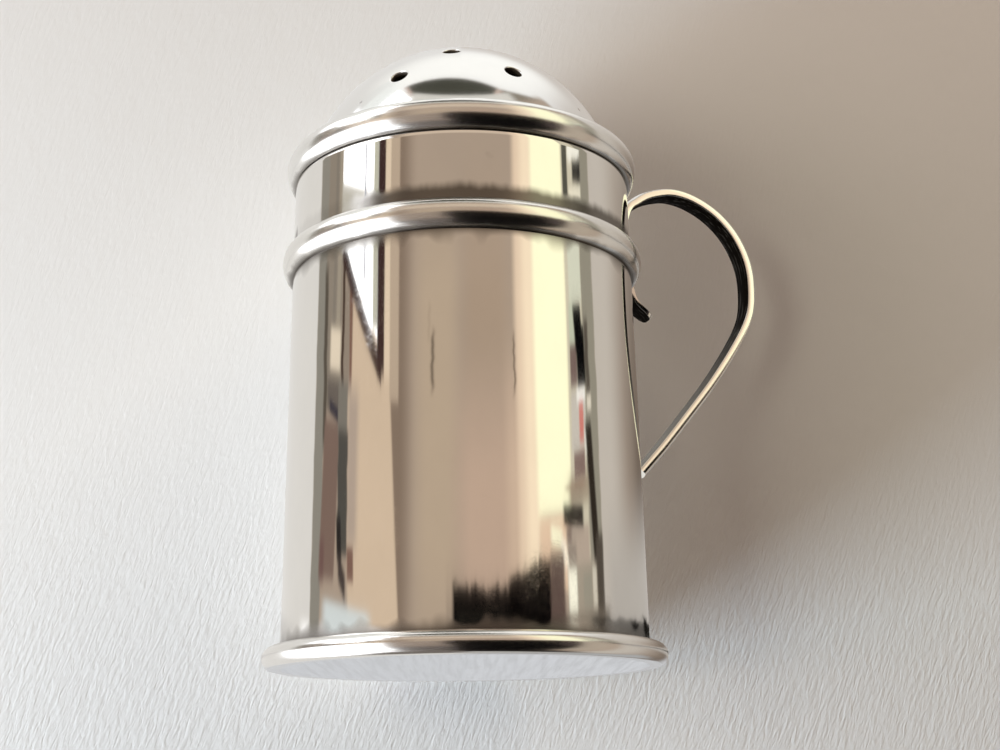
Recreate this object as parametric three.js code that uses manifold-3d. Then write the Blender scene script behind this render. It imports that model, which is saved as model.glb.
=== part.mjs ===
// A small silver pepper pot with a strap handle and a pull-off pierced lid, in millimetres, +Z up.
// The origin is where the pot's axis meets the underside of the base. The handle stands towards +X.

import * as THREE from 'three';
import { mergeVertices } from 'three/addons/utils/BufferGeometryUtils.js';
import Module from 'manifold-3d';

const wasm = await Module();
wasm.setup();

// Body: a seamed tube of sheet that tapers a little towards its mouth
const bodyFootRadius = 18.0;
const mouthNarrowing = 0.67;
const bodyHeight = 48.5;
const bodyWall = 0.7;
const rimBevel = 0.15;

// Base: a flat disc that closes the tube, with a moulded rim round both
const baseThickness = 0.8;
const footRimHeight = 2.15;
const footRimProud = 1.75;
const footRimFlat = 1.05;
const footRimTopLand = 0.55;

// Girdle: half-round wire soldered round the body below the mouth
const girdleBelowMouth = 8.48;
const girdleHeight = 3.0;
const girdleProud = 1.05;

// Lid: a raised dome, the half-round wire it rests on, and the bezel that plugs the mouth
const lidSeatGap = 0.2;
const lidWireHeight = 2.9;
const lidWireProud = 0.9;
const bezelClearance = 0.1;
const bezelWall = 0.5;
const bezelDepth = 7.0;
const bezelLeadIn = 0.2;
const domeWall = 0.6;
const domeEdgeInset = 0.15;
const domeEdgeLeanDegrees = 5.6;

// Piercing: one hole at the crown and staggered rings of holes round it
const holeDiameter = 1.8;
const holesInRing = 7;
const ringAnglesDegrees = [19, 37.5, 55];
const firstHoleTurnDegrees = -110.5;

// Handle: a strap, flat inside the loop and crowned outside, hammered thinner towards its tail
const strapWidth = 2.6;
const strapThickness = 1.02;
const strapEdgeThickness = 0.62;
const tailThickness = 0.42;
const tailLength = 4.5;
const tailBlendLength = 11.0;
const tipLength = 1.3;
const loopReach = 15.15;
const loopTopAboveMouth = 2.0;
const loopDrop = 32.0;
const tailOut = 1.88;
const tailDrop = 3.3;

// Fits and cuts
const solderGap = 0.05;
const handleSeatGap = 0.25;
const cutOverrun = 2.0;

// Facets
const roundSegments = 64;
const arcSteps = 8;
const domeSteps = 12;
const holeSegments = 16;
const strapSteps = 76;

// Heights and radii that several pieces share
const bodyMouthRadius = bodyFootRadius - mouthNarrowing;
const mouthZ = baseThickness + bodyHeight;
const girdleZ = mouthZ - girdleBelowMouth;
const lidZ = mouthZ + lidSeatGap;
const bezelRadius = bodyMouthRadius - bodyWall - bezelClearance;
const domeEdgeRadius = bezelRadius - domeEdgeInset;
const domeLean = THREE.MathUtils.degToRad(domeEdgeLeanDegrees);
const domeRadius = domeEdgeRadius / Math.cos(domeLean);
const domeCentreZ = lidZ - domeRadius * Math.sin(domeLean);

// The wall's outer radius at a height: straight inside the foot rim, then an even taper
function wallRadius(z) {
  const share = THREE.MathUtils.clamp((z - footRimHeight) / (mouthZ - footRimHeight), 0, 1);
  return THREE.MathUtils.lerp(bodyFootRadius, bodyMouthRadius, share);
}

// A quarter or half of an ellipse about a centre, from one angle to another, in radians
function ellipseArc(centreR, centreZ, acrossR, acrossZ, from, to, steps) {
  const points = [];
  for (let i = 0; i <= steps; i += 1) {
    const angle = THREE.MathUtils.lerp(from, to, i / steps);
    points.push([centreR + acrossR * Math.cos(angle), centreZ + acrossZ * Math.sin(angle)]);
  }
  return points;
}

// A turned solid: the profile's outer side runs upwards and its inner side down
function turned(profile) {
  const points = profile.map(([r, z]) => new THREE.Vector2(r, z));
  const geometry = new THREE.LatheGeometry(points, roundSegments);
  return geometry.rotateX(Math.PI / 2);
}

// A turned ring whose profile closes on its first point
function turnedRing(profile) {
  return turned([...profile, profile[0]]);
}

// Booleans: to a solid and back
function toSolid(geometry) {
  const bare = geometry.clone();
  bare.deleteAttribute('normal');
  bare.deleteAttribute('uv');
  const merged = mergeVertices(bare);
  const index = merged.index.array;
  const kept = [];
  for (let i = 0; i < index.length; i += 3) {
    const [a, b, c] = [index[i], index[i + 1], index[i + 2]];
    if (a !== b && b !== c && c !== a) {
      kept.push(a, b, c);
    }
  }
  const vertProperties = new Float32Array(merged.attributes.position.array);
  const triVerts = new Uint32Array(kept);
  return new wasm.Manifold(new wasm.Mesh({ numProp: 3, vertProperties, triVerts }));
}

function toGeometry(solid) {
  const mesh = solid.getMesh();
  const geometry = new THREE.BufferGeometry();
  geometry.setAttribute('position', new THREE.BufferAttribute(mesh.vertProperties, 3));
  geometry.setIndex(new THREE.BufferAttribute(mesh.triVerts, 1));
  return geometry;
}

// Body wall: the tube stands on the base disc, with its mouth's two edges eased
function bodyWallGeometry() {
  const inner = (z) => wallRadius(z) - bodyWall;
  return turnedRing([
    [inner(baseThickness), baseThickness],
    [wallRadius(baseThickness), baseThickness],
    [wallRadius(footRimHeight), footRimHeight],
    [wallRadius(mouthZ - rimBevel), mouthZ - rimBevel],
    [bodyMouthRadius - rimBevel, mouthZ],
    [bodyMouthRadius - bodyWall + rimBevel, mouthZ],
    [inner(mouthZ - rimBevel), mouthZ - rimBevel],
    [inner(footRimHeight), footRimHeight],
  ]);
}

// Base plate: a flat disc under the tube's end, flush with the wall outside
function basePlateGeometry() {
  return turned([
    [0, 0],
    [bodyFootRadius, 0],
    [bodyFootRadius, baseThickness],
    [0, baseThickness],
  ]);
}

// Foot rim: a moulding with a flat underside, rounded over its edge to a narrow land at the wall
function footRimGeometry() {
  const inside = bodyFootRadius + solderGap;
  const half = footRimHeight / 2;
  const lowArc = ellipseArc(
    bodyFootRadius + footRimFlat, half, footRimProud - footRimFlat, half, -Math.PI / 2, 0, arcSteps / 2);
  const highArc = ellipseArc(
    bodyFootRadius + footRimTopLand, half, footRimProud - footRimTopLand, half, 0, Math.PI / 2, arcSteps / 2);
  return turnedRing([[inside, 0], ...lowArc, ...highArc.slice(1), [inside, footRimHeight]]);
}

// Half-round wire: a flat back and an elliptical front, ending in two small flats at the wall
function wirePoints(z, height, backRadius, proud) {
  return ellipseArc(backRadius, z, proud, height / 2, -Math.PI / 2, Math.PI / 2, arcSteps);
}

// Girdle: its back follows the wall's taper
function girdleGeometry() {
  const low = girdleZ - girdleHeight / 2;
  const high = girdleZ + girdleHeight / 2;
  const front = wirePoints(girdleZ, girdleHeight, wallRadius(girdleZ) + solderGap, girdleProud - solderGap);
  return turnedRing([
    [wallRadius(low) + solderGap, low],
    ...front.slice(1, -1),
    [wallRadius(high) + solderGap, high],
  ]);
}

// The dome's radius and height at an angle down from the crown, on a skin inset from the outside
function domePoint(angle, inset) {
  const radius = domeRadius - inset;
  return [radius * Math.sin(angle), domeCentreZ + radius * Math.cos(angle)];
}

// Lid wire: rests flat over the body's rim, and its back follows the dome
function lidWireGeometry() {
  const half = lidWireHeight / 2;
  const front = wirePoints(lidZ + half, lidWireHeight, bodyMouthRadius, lidWireProud);
  const back = [];
  for (let i = 0; i <= arcSteps / 2; i += 1) {
    const z = THREE.MathUtils.lerp(lidZ + lidWireHeight, lidZ, i / (arcSteps / 2));
    const radius = domeRadius + solderGap;
    back.push([Math.sqrt(radius ** 2 - (z - domeCentreZ) ** 2), z]);
  }
  return turnedRing([...front, ...back]);
}

// Bezel: a straight band under the dome's edge, with a lead-in at its lower end
function bezelGeometry() {
  const low = lidZ - bezelDepth;
  return turnedRing([
    [bezelRadius - bezelWall, low],
    [bezelRadius - bezelLeadIn, low],
    [bezelRadius, low + bezelLeadIn],
    [bezelRadius, lidZ],
    [bezelRadius - bezelWall, lidZ],
  ]);
}

// Dome: a raised shell, pierced square to its surface
function domeGeometry() {
  const inside = [];
  const outside = [];
  const innerEdge = Math.acos((lidZ - domeCentreZ) / (domeRadius - domeWall));
  const outerEdge = Math.PI / 2 - domeLean;
  for (let i = 0; i <= domeSteps; i += 1) {
    inside.push(domePoint(innerEdge * i / domeSteps, domeWall));
    outside.push(domePoint(outerEdge * (domeSteps - i) / domeSteps, 0));
  }
  inside[0][0] = 0;
  outside[domeSteps][0] = 0;
  const shell = toSolid(turned([...inside, ...outside]));
  return toGeometry(shell.subtract(wasm.Manifold.union(piercings())));
}

// Piercing cutters: one at the crown, then each ring turned half a step from the last
function piercings() {
  const places = [[0, 0]];
  const step = Math.PI * 2 / holesInRing;
  const firstTurn = THREE.MathUtils.degToRad(firstHoleTurnDegrees);
  const firstRing = 1;
  ringAnglesDegrees.forEach((degrees, ring) => {
    for (let k = 0; k < holesInRing; k += 1) {
      const turn = firstTurn + step * (k + Math.abs(ring - firstRing) / 2);
      places.push([THREE.MathUtils.degToRad(degrees), turn]);
    }
  });
  return places.map(([angle, turn]) => {
    const length = domeWall + 2 * cutOverrun;
    const cutter = new THREE.CylinderGeometry(holeDiameter / 2, holeDiameter / 2, length, holeSegments);
    cutter.rotateX(Math.PI / 2);
    cutter.translate(0, 0, domeRadius - domeWall / 2);
    cutter.rotateY(angle);
    cutter.rotateZ(turn);
    cutter.translate(0, 0, domeCentreZ);
    return toSolid(cutter);
  });
}

// Shares of the loop's reach past the mouth and of its drop below its top, along the strap's flat face
const loopShares = [
  [0.102, 0.068], [0.158, 0.046], [0.234, 0.023], [0.341, 0.006], [0.434, 0.000], [0.572, 0.012],
  [0.737, 0.052], [0.863, 0.108], [0.943, 0.170], [0.990, 0.238], [1.000, 0.312], [0.986, 0.381],
  [0.952, 0.428], [0.856, 0.509], [0.671, 0.636], [0.440, 0.772], [0.260, 0.874], [0.187, 0.912],
];
const wallEndShare = 1.4;

// Shares of the tail's reach out and drop, from its tip in towards the girdle
const tailShares = [[1.00, 1.00], [0.72, 0.84], [0.45, 0.70], [0.10, 0.53], [-0.08, 0.30], [0.00, 0.00]];

// The strap's flat face in the handle's plane: from the tail over the girdle, up the wall, round the loop
function strapRoute() {
  const crest = wallRadius(girdleZ) + girdleProud + handleSeatGap + tailThickness;
  const shoulderZ = girdleZ + girdleHeight;
  const seatZ = (shoulderZ + mouthZ) / 2;
  const onWall = (z) => [wallRadius(z) + handleSeatGap + strapEdgeThickness, z];
  const topZ = mouthZ + loopTopAboveMouth;
  const tail = tailShares.map(([out, drop]) => [crest + out * tailOut, girdleZ - drop * tailDrop]);
  const onLoop = ([reach, drop]) => [bodyMouthRadius + reach * loopReach, topZ - drop * loopDrop];
  const loop = loopShares.map(onLoop);
  const [beforeEnd, end] = loop.slice(-2);
  const wallEnd = end.map((value, i) => value + (value - beforeEnd[i]) * wallEndShare);
  const points = [...tail, onWall(shoulderZ), onWall(seatZ), ...loop, wallEnd];
  const places = points.map(([x, z]) => new THREE.Vector3(x, 0, z));
  return new THREE.CatmullRomCurve3(places, false, 'centripetal');
}

// The strap's section at a distance from its tail's tip: half width, edge thickness and crown thickness
const tipWidthShare = 0.4;
function strapSection(distance) {
  const thicken = THREE.MathUtils.smoothstep(distance, tailLength, tailLength + tailBlendLength);
  const crown = THREE.MathUtils.lerp(tailThickness, strapThickness, thicken);
  const edge = THREE.MathUtils.lerp(tailThickness, strapEdgeThickness, thicken);
  const rounding = Math.sqrt(1 - (1 - Math.min(distance / tipLength, 1)) ** 2);
  const half = strapWidth / 2 * THREE.MathUtils.lerp(tipWidthShare, 1, rounding);
  return { half, edge, crown };
}

// Strap: its section is carried along the route, then its seats are cut to the wall and the girdle
function strapGeometry() {
  const curve = strapRoute();
  const length = curve.getLength();
  const crownShares = [-1, -0.5, 0, 0.5, 1];
  const ringSize = crownShares.length + 2;
  const position = [];
  for (let i = 0; i <= strapSteps; i += 1) {
    const at = curve.getPointAt(i / strapSteps);
    const along = curve.getTangentAt(i / strapSteps);
    const outward = new THREE.Vector3(-along.z, 0, along.x);
    const { half, edge, crown } = strapSection(length * i / strapSteps);
    const corners = [[half, 0], [-half, 0]];
    crownShares.forEach((across) => {
      corners.push([across * half, edge + (crown - edge) * (1 - across ** 2)]);
    });
    corners.forEach(([y, lift]) => {
      position.push(at.x + outward.x * lift, y, at.z + outward.z * lift);
    });
  }
  const index = [];
  for (let i = 0; i < strapSteps; i += 1) {
    for (let j = 0; j < ringSize; j += 1) {
      const a = i * ringSize + j;
      const b = i * ringSize + (j + 1) % ringSize;
      index.push(a, a + ringSize, b, b, a + ringSize, b + ringSize);
    }
  }
  const last = strapSteps * ringSize;
  for (let j = 1; j < ringSize - 1; j += 1) {
    index.push(0, j, j + 1);
    index.push(last, last + j + 1, last + j);
  }
  const geometry = new THREE.BufferGeometry();
  geometry.setAttribute('position', new THREE.Float32BufferAttribute(position, 3));
  geometry.setIndex(index);
  return toGeometry(toSolid(geometry).subtract(toSolid(handleSeatCutter())));
}

// What the strap is fitted against: the wall and the girdle, both larger by the seat gap
function handleSeatCutter() {
  const gap = handleSeatGap;
  const front = wirePoints(girdleZ, girdleHeight + 2 * gap, wallRadius(girdleZ), girdleProud + gap);
  return turned([
    [0, 0],
    [bodyFootRadius + gap, 0],
    [wallRadius(footRimHeight) + gap, footRimHeight],
    [wallRadius(front[0][1]) + gap, front[0][1]],
    ...front.slice(1, -1),
    [wallRadius(front[arcSteps][1]) + gap, front[arcSteps][1]],
    [bodyMouthRadius + gap, mouthZ],
    [0, mouthZ],
  ]);
}

// Finishes: one polished silver, a little greyer inside and where it is worn
function silver(color, roughness) {
  return new THREE.MeshStandardMaterial({ color, roughness, metalness: 1 });
}

const pieces = {
  body_wall: [bodyWallGeometry, silver(0xcfc8bd, 0.12)],
  base_plate: [basePlateGeometry, silver(0xc9c6c1, 0.16)],
  foot_rim: [footRimGeometry, silver(0xcfc8bd, 0.14)],
  girdle_wire: [girdleGeometry, silver(0xd2cabd, 0.13)],
  handle_strap: [strapGeometry, silver(0xd4ccbc, 0.16)],
  lid_dome: [domeGeometry, silver(0xd3d0ca, 0.12)],
  lid_rim_wire: [lidWireGeometry, silver(0xd2cabd, 0.13)],
  lid_bezel: [bezelGeometry, silver(0xc4beb3, 0.2)],
};

const pot = new THREE.Group();
for (const [name, [makeGeometry, material]] of Object.entries(pieces)) {
  const mesh = new THREE.Mesh(makeGeometry(), material);
  mesh.name = name;
  pot.add(mesh);
}

export default pot;
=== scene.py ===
import math

import bmesh
import bpy
import numpy as np
from mathutils import Matrix, Vector
from mathutils.geometry import delaunay_2d_cdt


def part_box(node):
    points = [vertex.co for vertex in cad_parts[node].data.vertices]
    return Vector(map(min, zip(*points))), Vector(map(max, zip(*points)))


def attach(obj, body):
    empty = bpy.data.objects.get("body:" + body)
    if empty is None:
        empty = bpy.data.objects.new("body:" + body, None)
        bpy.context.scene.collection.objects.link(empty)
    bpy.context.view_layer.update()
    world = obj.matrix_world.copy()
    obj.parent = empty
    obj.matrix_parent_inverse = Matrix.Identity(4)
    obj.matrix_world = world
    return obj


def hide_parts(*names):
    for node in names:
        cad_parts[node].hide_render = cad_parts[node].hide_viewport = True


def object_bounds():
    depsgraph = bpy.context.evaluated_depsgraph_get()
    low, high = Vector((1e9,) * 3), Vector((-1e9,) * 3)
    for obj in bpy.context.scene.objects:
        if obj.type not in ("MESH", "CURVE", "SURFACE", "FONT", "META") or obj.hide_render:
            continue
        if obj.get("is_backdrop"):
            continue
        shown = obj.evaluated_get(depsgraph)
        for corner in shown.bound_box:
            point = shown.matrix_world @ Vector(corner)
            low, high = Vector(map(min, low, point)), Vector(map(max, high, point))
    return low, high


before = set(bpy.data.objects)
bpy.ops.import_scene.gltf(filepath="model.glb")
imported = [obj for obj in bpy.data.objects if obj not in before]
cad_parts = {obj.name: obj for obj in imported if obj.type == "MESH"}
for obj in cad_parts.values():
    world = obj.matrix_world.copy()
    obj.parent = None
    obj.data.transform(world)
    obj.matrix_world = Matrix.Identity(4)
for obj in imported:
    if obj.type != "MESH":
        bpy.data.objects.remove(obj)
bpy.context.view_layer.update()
mm = 0.001


# Base plate: a flat disc of sheet silver that closes the foot of the tube. It is soldered on from
# below, filed flush and polished flat, so that its underside is one mirror with fine rubbing marks.
base_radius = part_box("base_plate")[1].x
base_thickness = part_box("base_plate")[1].z
base_bevel = 0.05 * mm
base_rings = 30
base_turns = 256
base_colour = (0.86, 0.85, 0.83)
weld_distance = 0.0005 * mm


def turned(radius, height, turns, ring=True, drift=None):
    """A profile turned about Z: the point (r, z) goes to (r cos t, r sin t, z) at each turn t.

    A ring's profile closes on its first point, and the others end on the axis. drift(t, z) is a small
    length added to r, for metal that isn't quite round."""
    turn = np.linspace(0, 2 * np.pi, turns, endpoint=False)
    spread = np.repeat(np.asarray(radius, float)[:, None], turns, axis=1)
    level = np.repeat(np.asarray(height, float)[:, None], turns, axis=1)
    if drift is not None:
        spread = np.where(spread > 0, spread + drift(turn[None, :], level), 0)
    points = np.stack([spread * np.cos(turn), spread * np.sin(turn), level], axis=-1).reshape(-1, 3)
    rows = len(radius)
    row, column = np.meshgrid(np.arange(rows if ring else rows - 1), np.arange(turns), indexing="ij")
    above, beside = (row + 1) % rows * turns, (column + 1) % turns
    row = row * turns
    corners = [row + column, row + beside, above + beside, above + column]
    return points, np.stack(corners, axis=-1).reshape(-1, 4)


def make_piece(name, points, faces, material, body, node, slot, crease_degrees=38, normals=None,
               shares=None):
    """One piece of the pot from its points and faces: smooth, with its sharp edges kept, on its body.

    shares are named numbers, one for each point, that its material reads."""
    mesh = bpy.data.meshes.new(name)
    mesh.from_pydata(np.asarray(points).tolist(), [], [list(map(int, face)) for face in faces])
    for label, numbers in (shares or {}).items():
        attribute = mesh.attributes.new(label, "FLOAT", "POINT")
        attribute.data.foreach_set("value", np.asarray(numbers, np.float32))
    work = bmesh.new()
    work.from_mesh(mesh)
    if normals is None:
        bmesh.ops.remove_doubles(work, verts=work.verts, dist=weld_distance)
        bmesh.ops.dissolve_degenerate(work, edges=work.edges, dist=weld_distance)
        bmesh.ops.recalc_face_normals(work, faces=work.faces)
    work.to_mesh(mesh)
    work.free()
    mesh.polygons.foreach_set("use_smooth", np.ones(len(mesh.polygons), bool))
    mesh.set_sharp_from_angle(angle=math.radians(crease_degrees))
    if normals is not None:
        mesh.normals_split_custom_set_from_vertices(np.asarray(normals).tolist())
    mesh.materials.append(material)
    piece = bpy.data.objects.new(name, mesh)
    bpy.context.scene.collection.objects.link(piece)
    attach(piece, body)
    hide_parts(node)


def add(tree, kind, feeds=(), **settings):
    """One node in a tree. Each feed sets an input, by name or number, to a value or another output."""
    made = tree.nodes.new(kind)
    for setting, value in settings.items():
        setattr(made, setting, value)
    for name, value in dict(feeds).items():
        if isinstance(value, bpy.types.NodeSocket):
            tree.links.new(value, made.inputs[name])
        else:
            made.inputs[name].default_value = value
    return made


def sum_of(tree, operation, *values):
    """The output of a Math node on numbers or outputs."""
    return add(tree, "ShaderNodeMath", enumerate(values), operation=operation).outputs[0]


def fade(tree, value, start, end, first=1.0, last=0.0):
    """A smooth change from first to last while value goes from start to end."""
    feeds = {"Value": value, "From Min": start, "From Max": end, "To Min": first, "To Max": last}
    return add(tree, "ShaderNodeMapRange", feeds, interpolation_type="SMOOTHSTEP").outputs[0]


def noise(tree, place, detail=1.0, **inputs):
    """Smooth noise over a place, from 0 to 1, with a grain of about one unit if no Scale is given."""
    feeds = {"Vector": place, "Scale": 1.0, "Detail": detail, **inputs}
    return add(tree, "ShaderNodeTexNoise", feeds).outputs["Fac"]


def shaken(tree, value, grain, reach):
    """A value moved up and down by a noise, by up to half of the reach each way."""
    return sum_of(tree, "MULTIPLY_ADD", sum_of(tree, "SUBTRACT", grain, 0.5), reach, value)


def mixed(tree, share, first, second):
    """A colour that goes from first to second as the share goes from 0 to 1."""
    feeds = {"Factor": share, 6: first, 7: second}
    return add(tree, "ShaderNodeMix", feeds, data_type="RGBA").outputs[2]


def new_material(name):
    """A new material with its tree and its shader."""
    material = bpy.data.materials.new(name)
    material.use_nodes = True
    return material, material.node_tree, material.node_tree.nodes["Principled BSDF"]


def new_group(name, inputs, outputs):
    """An empty shader node group with number inputs and outputs, and its two end nodes."""
    group = bpy.data.node_groups.new(name, "ShaderNodeTree")
    for label, value in inputs.items():
        socket = group.interface.new_socket(label, in_out="INPUT", socket_type="NodeSocketFloat")
        socket.default_value = value
    for label in outputs:
        group.interface.new_socket(label, in_out="OUTPUT", socket_type="NodeSocketFloat")
    return group, group.nodes.new("NodeGroupInput").outputs, group.nodes.new("NodeGroupOutput").inputs


def use_group(tree, group, **values):
    """The outputs of a group placed in a tree, with inputs set by keyword, such as streak_depth=0.5."""
    feeds = {label.replace("_", " ").title(): value for label, value in values.items()}
    return add(tree, "ShaderNodeGroup", feeds, node_tree=group).outputs


def millimetres(tree, scale=(1, 1, 1), turn=None, shift=0.0):
    """The piece's own coordinates in mm, turned by degrees, then stretched along each axis and moved."""
    place = add(tree, "ShaderNodeTexCoord").outputs["Object"]
    if turn:
        feeds = {"Vector": place, "Rotation": [math.radians(angle) for angle in turn]}
        place = add(tree, "ShaderNodeMapping", feeds).outputs[0]
    feeds = {"Vector": place, "Scale": [share / mm for share in scale], "Location": [shift] * 3}
    return add(tree, "ShaderNodeMapping", feeds).outputs[0]


def hairlines(tree, turn, stretch, width, seed):
    """Long fine scratches: the narrow band where a stretched noise crosses its middle value."""
    grain = noise(tree, millimetres(tree, stretch, turn, seed))
    return fade(tree, sum_of(tree, "ABSOLUTE", sum_of(tree, "SUBTRACT", grain, 0.5)), 0.0, width)


# Polish marks, in every silver: streaks that run round the pot, clouds of handling, sparse hairlines
polish, given, out = new_group(
    "polish_marks",
    {"Roughness": 0.07, "Cloud Spread": 0.03, "Streak Depth": 1.0, "Scratch Depth": 1.0},
    ["Roughness", "Height", "Cloud"],
)
streak = noise(polish, millimetres(polish, (0.22, 0.22, 9.0)), 3.0)
cloud = noise(polish, millimetres(polish, (0.16, 0.16, 0.11)), 4.0, Roughness=0.6)
lines = sum_of(
    polish, "ADD",
    hairlines(polish, (20, 35, 50), (0.10, 3.0, 3.0), 0.006, 3.0),
    hairlines(polish, (-50, 10, -35), (3.0, 0.12, 3.0), 0.005, 11.0),
)
scratches = sum_of(polish, "MULTIPLY", lines, fade(polish, cloud, 0.47, 0.62, 0.0, 1.0))
roughness = shaken(polish, given["Roughness"], cloud, given["Cloud Spread"])
polish.links.new(sum_of(polish, "MULTIPLY_ADD", scratches, 0.05, roughness), out["Roughness"])
streak_height = sum_of(polish, "MULTIPLY", streak, given["Streak Depth"])
scratch_height = sum_of(polish, "MULTIPLY", scratches, given["Scratch Depth"])
polish.links.new(sum_of(polish, "SUBTRACT", streak_height, scratch_height), out["Height"])
polish.links.new(cloud, out["Cloud"])

# Tarnish: the brown-black film that stays in the corners beside a joint, at one or two heights in mm
no_joint = -100.0
tarnish, given, out = new_group(
    "joint_tarnish", {"Joint A": no_joint, "Joint B": no_joint, "Reach": 0.35}, ["Mask"])
level = add(tarnish, "ShaderNodeSeparateXYZ", {"Vector": millimetres(tarnish)}).outputs["Z"]
patchy = noise(tarnish, millimetres(tarnish, (0.45, 0.45, 0.25)))
reach = sum_of(tarnish, "MULTIPLY", given["Reach"], fade(tarnish, patchy, 0.3, 0.7, 0.6, 1.5))
nearest = sum_of(tarnish, "MINIMUM", *(
    sum_of(tarnish, "ABSOLUTE", sum_of(tarnish, "SUBTRACT", level, given[joint]))
    for joint in ("Joint A", "Joint B")))
share = sum_of(tarnish, "SUBTRACT", 1.0, sum_of(tarnish, "DIVIDE", nearest, reach))
tarnish.links.new(sum_of(tarnish, "POWER", sum_of(tarnish, "MAXIMUM", share, 0.0), 1.3), out["Mask"])

# The tarnish's dark brown, also used for the painted shade inside the dome
tarnish_and_shade_colour = (0.080, 0.063, 0.048)
film_roughness = 0.2
mark_height = 0.0004
cloud_pale, cloud_deep = 1.05, 0.93


def silver(name, colour, joints=(), reach=0.35, strength=0.85, details=(), film_and_shade_colour=tarnish_and_shade_colour,
           matt_film_and_shade=0.0, **marks):
    """Polished silver: metal that reflects its colour, greyed near joints, with polish marks in bump.

    details are functions of the tree. Each gives a bump height in millimetres and a mask of dark film or
    painted shade, or None for either. The matt share is the share of that film and painted shade which
    is dull and not metal."""
    material, tree, shader = new_material(name)
    shader.inputs["Metallic"].default_value = 1.0
    marked = use_group(tree, polish, **marks)
    heights = {label: joint / mm for label, joint in zip(("joint_a", "joint_b"), joints)}
    film = sum_of(tree, "MULTIPLY", use_group(tree, tarnish, reach=reach, **heights)["Mask"], strength)
    height = sum_of(tree, "MULTIPLY", marked["Height"], mark_height)
    for make_detail in details:
        more_height, more_film_and_shade = make_detail(tree)
        if more_height is not None:
            height = sum_of(tree, "ADD", height, more_height)
        if more_film_and_shade is not None:
            film = sum_of(tree, "MAXIMUM", film, more_film_and_shade)
    paler = [min(1.0, channel * cloud_pale) for channel in colour]
    deeper = [channel * cloud_deep for channel in colour]
    clean = mixed(tree, marked["Cloud"], (*deeper, 1), (*paler, 1))
    tree.links.new(mixed(tree, film, clean, (*film_and_shade_colour, 1)), shader.inputs["Base Color"])
    if matt_film_and_shade:
        shader.inputs["Specular IOR Level"].default_value = 0.0
        tree.links.new(sum_of(tree, "MULTIPLY_ADD", film, -matt_film_and_shade, 1.0), shader.inputs["Metallic"])
    tree.links.new(sum_of(tree, "MULTIPLY_ADD", film, film_roughness, marked["Roughness"]),
                   shader.inputs["Roughness"])
    bump = add(tree, "ShaderNodeBump", {"Height": height, "Strength": 1.0, "Distance": mm})
    tree.links.new(bump.outputs[0], shader.inputs["Normal"])
    return material


front_turn = -17.5


def rubbed(tree):
    """Rubbing marks that run from front to back under the pot, as a light film and a small height."""
    mark = noise(tree, millimetres(tree, (1.5, 0.06, 1), (0, 0, -front_turn)), 3.0)
    return sum_of(tree, "MULTIPLY", mark, 0.0006), fade(tree, mark, 0.36, 0.68, 0.0, 0.2)


base_silver = silver("base_silver", base_colour, joints=(base_thickness,), details=(rubbed,),
                     roughness=0.10, cloud_spread=0.04, streak_depth=0.0, scratch_depth=1.5)
disc_flat = np.linspace(0, base_radius - base_bevel, base_rings)
disc_radius = np.concatenate([disc_flat, [base_radius, base_radius], disc_flat[::-1]])
disc_height = np.concatenate([np.zeros(base_rings), [base_bevel, base_thickness - base_bevel],
                              np.full(base_rings, base_thickness)])
make_piece("base_disc", *turned(disc_radius, disc_height, base_turns, ring=False),
           base_silver, "pot", "base_plate", "base_silver")


# Body wall: a tube of sheet silver with a soldered seam, tapering a little towards its mouth. It was
# raised and planished by hand, so it isn't quite true, and two small creases show on its front.
foot_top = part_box("foot_rim")[1].z
mouth_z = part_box("body_wall")[1].z
mouth_radius = base_radius - 0.67 * mm
wall_thickness = 0.7 * mm
wall_bevel = 0.15 * mm
wall_rows = 150
inside_rows = 25
lip_steps = 4
wall_turns = 320
wall_colour = (0.86, 0.835, 0.795)
planish_depth = 0.0045 * mm


def wall_radius(height):
    """The tube's outer radius: even inside the foot, then a straight taper to the mouth."""
    share = np.clip((height - foot_top) / (mouth_z - foot_top), 0, 1)
    return base_radius + (mouth_radius - base_radius) * share


def planished(turn, height):
    """Small departures from round: a few long waves round and along the tube, added together."""
    up = height / (9 * mm)
    waves = 0.9 * np.sin(3 * turn + 0.8 * up + 1.0) + 0.6 * np.sin(7 * turn - 1.1 * up)
    return planish_depth * (waves + 0.5 * np.sin(11 * turn + 1.7 * up + 2.0) + 0.5 * np.sin(2.3 * up))


rise = np.linspace(base_thickness, mouth_z - wall_bevel, wall_rows)
fall = np.linspace(mouth_z - wall_bevel, base_thickness, inside_rows)
lip = np.linspace(0, np.pi / 2, lip_steps)[1:]
lip_radius = mouth_radius - wall_bevel + wall_bevel * np.cos(lip)
lip_height = mouth_z - wall_bevel + wall_bevel * np.sin(lip)
wall_profile = np.concatenate([wall_radius(rise), lip_radius,
                               2 * mouth_radius - wall_thickness - lip_radius[::-1],
                               wall_radius(fall) - wall_thickness])
wall_heights = np.concatenate([rise, lip_height, lip_height[::-1], fall])


def turn_and_height(tree):
    """A point's turn about the pot's axis, in degrees, and its height in mm."""
    place = add(tree, "ShaderNodeSeparateXYZ", {"Vector": millimetres(tree)}).outputs
    return sum_of(tree, "DEGREES", sum_of(tree, "ARCTAN2", place["Y"], place["X"])), place["Z"]


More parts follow.
